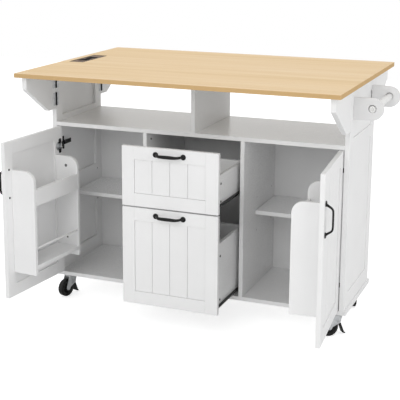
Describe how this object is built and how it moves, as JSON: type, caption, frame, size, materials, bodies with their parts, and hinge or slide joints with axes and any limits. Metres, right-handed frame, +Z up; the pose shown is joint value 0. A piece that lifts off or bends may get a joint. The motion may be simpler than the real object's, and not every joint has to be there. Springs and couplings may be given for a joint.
{
  "type": "rolling kitchen island",
  "caption": "Rolling kitchen island with an overhanging wood worktop, two open bays, two drawers, two doors with racks, swinging worktop brackets, a towel bar and swivel casters.",
  "frame": {"origin": "on the floor under the centre of the cabinet body", "axes": "+X to the right seen from the front, +Y from front to back, +Z up"},
  "size_m": [1.3005, 0.9678, 0.925],
  "materials": {
    "worktop_oak": "oiled light oak",
    "cabinet_white": "satin white lacquer on board",
    "black_metal": "black powder coat",
    "caster_grey": "zinc plated pressing",
    "caster_rubber": "black moulded wheel",
    "power_black": "glossy black"
  },
  "bodies": {
    "cabinet": {"worktop": "worktop_oak", "power_bezel": "power_black", "power_sockets": "power_black", "power_housing": "power_black", "left_side_frame": "cabinet_white", "right_side_frame": "cabinet_white", "left_side_panel": "cabinet_white", "right_side_panel": "cabinet_white", "deck": "cabinet_white", "centre_divider": "cabinet_white", "left_divider": "cabinet_white", "right_divider": "cabinet_white", "bottom_panel": "cabinet_white", "back_panel": "cabinet_white", "left_shelf": "cabinet_white", "right_shelf": "cabinet_white", "towel_brackets": "cabinet_white", "towel_bar": "cabinet_white", "shelf_pins": "caster_grey", "caster_plates": "caster_grey", "bracket_hinge_leaves": "black_metal", "door_hinge_arms": "black_metal", "drawer_slide_rails": "black_metal"},
    "left_door": {"left_door_frame": "cabinet_white", "left_door_panel": "cabinet_white", "left_rack_sides": "cabinet_white", "left_rack_trays": "cabinet_white", "left_door_handle": "black_metal", "left_hinge_cups": "black_metal"},
    "right_door": {"right_door_frame": "cabinet_white", "right_door_panel": "cabinet_white", "right_rack_sides": "cabinet_white", "right_rack_trays": "cabinet_white", "right_door_handle": "black_metal", "right_hinge_cups": "black_metal"},
    "upper_drawer": {"upper_drawer_front": "cabinet_white", "upper_drawer_panel": "cabinet_white", "upper_drawer_box": "cabinet_white", "upper_drawer_handle": "black_metal", "upper_drawer_runners": "black_metal"},
    "lower_drawer": {"lower_drawer_front": "cabinet_white", "lower_drawer_panel": "cabinet_white", "lower_drawer_box": "cabinet_white", "lower_drawer_handle": "black_metal", "lower_drawer_runners": "black_metal"},
    "front_left_bracket": {"front_left_bracket": "cabinet_white"},
    "front_right_bracket": {"front_right_bracket": "cabinet_white"},
    "rear_left_bracket": {"rear_left_bracket": "cabinet_white"},
    "rear_right_bracket": {"rear_right_bracket": "cabinet_white"},
    "front_left_caster": {"front_left_caster_fork": "caster_grey"},
    "front_left_wheel": {"front_left_wheel": "caster_rubber"},
    "front_right_caster": {"front_right_caster_fork": "caster_grey"},
    "front_right_wheel": {"front_right_wheel": "caster_rubber"},
    "rear_left_caster": {"rear_left_caster_fork": "caster_grey"},
    "rear_left_wheel": {"rear_left_wheel": "caster_rubber"},
    "rear_right_caster": {"rear_right_caster_fork": "caster_grey"},
    "rear_right_wheel": {"rear_right_wheel": "caster_rubber"},
    "front_left_brake": {"front_left_brake_lever": "black_metal"},
    "front_right_brake": {"front_right_brake_lever": "black_metal"}
  },
  "joints": [
    {"name": "left_door_hinge", "type": "hinge", "parent": "cabinet", "child": "left_door", "pos_m": [-0.5573, -0.1865, 0.4], "axis": [0, 0, -1], "range_deg": [-95.4, 12]},
    {"name": "right_door_hinge", "type": "hinge", "parent": "cabinet", "child": "right_door", "pos_m": [0.5573, -0.1865, 0.4], "axis": [0, 0, 1], "range_deg": [-94.9, 12]},
    {"name": "upper_drawer_slide", "type": "slide", "parent": "cabinet", "child": "upper_drawer", "axis": [0, -1, 0], "range_m": [-0.216, 0.014]},
    {"name": "lower_drawer_slide", "type": "slide", "parent": "cabinet", "child": "lower_drawer", "axis": [0, -1, 0], "range_m": [-0.216, 0.014]},
    {"name": "front_left_bracket_hinge", "type": "hinge", "parent": "cabinet", "child": "front_left_bracket", "pos_m": [-0.559, -0.1885, 0.835], "axis": [0, 0, 1], "range_deg": [0, 90]},
    {"name": "front_right_bracket_hinge", "type": "hinge", "parent": "cabinet", "child": "front_right_bracket", "pos_m": [0.559, -0.1885, 0.835], "axis": [0, 0, -1], "range_deg": [0, 90]},
    {"name": "rear_left_bracket_hinge", "type": "hinge", "parent": "cabinet", "child": "rear_left_bracket", "pos_m": [-0.559, 0.1885, 0.835], "axis": [0, 0, -1], "range_deg": [0, 90]},
    {"name": "rear_right_bracket_hinge", "type": "hinge", "parent": "cabinet", "child": "rear_right_bracket", "pos_m": [0.559, 0.1885, 0.835], "axis": [0, 0, 1], "range_deg": [0, 90]},
    {"name": "front_left_swivel", "type": "hinge", "parent": "cabinet", "child": "front_left_caster", "pos_m": [-0.541, -0.14, 0.08], "axis": [0, 0, 1], "continuous": true},
    {"name": "front_left_roll", "type": "hinge", "parent": "front_left_caster", "child": "front_left_wheel", "pos_m": [-0.54872, -0.16692, 0.034], "axis": [0.9613, -0.2756, 0], "continuous": true},
    {"name": "front_left_brake_lever_pivot", "type": "hinge", "parent": "front_left_caster", "child": "front_left_brake", "pos_m": [-0.53907, -0.13327, 0.057], "axis": [-0.9613, 0.2756, 0], "range_deg": [0, 9]},
    {"name": "front_right_swivel", "type": "hinge", "parent": "cabinet", "child": "front_right_caster", "pos_m": [0.541, -0.14, 0.08], "axis": [0, 0, 1], "continuous": true},
    {"name": "front_right_roll", "type": "hinge", "parent": "front_right_caster", "child": "front_right_wheel", "pos_m": [0.51894, -0.15724, 0.034], "axis": [0.6157, -0.788, 0], "continuous": true},
    {"name": "front_right_brake_lever_pivot", "type": "hinge", "parent": "front_right_caster", "child": "front_right_brake", "pos_m": [0.54652, -0.13569, 0.057], "axis": [-0.6157, 0.788, 0], "range_deg": [0, 9]},
    {"name": "rear_left_swivel", "type": "hinge", "parent": "cabinet", "child": "rear_left_caster", "pos_m": [-0.541, 0.14, 0.08], "axis": [0, 0, 1], "continuous": true},
    {"name": "rear_left_roll", "type": "hinge", "parent": "rear_left_caster", "child": "rear_left_wheel", "pos_m": [-0.53142, 0.16631, 0.034], "axis": [-0.9397, 0.342, 0], "continuous": true},
    {"name": "rear_right_swivel", "type": "hinge", "parent": "cabinet", "child": "rear_right_caster", "pos_m": [0.541, 0.14, 0.08], "axis": [0, 0, 1], "continuous": true},
    {"name": "rear_right_roll", "type": "hinge", "parent": "rear_right_caster", "child": "rear_right_wheel", "pos_m": [0.52917, 0.16538, 0.034], "axis": [-0.9063, -0.4226, 0], "continuous": true}
  ]
}
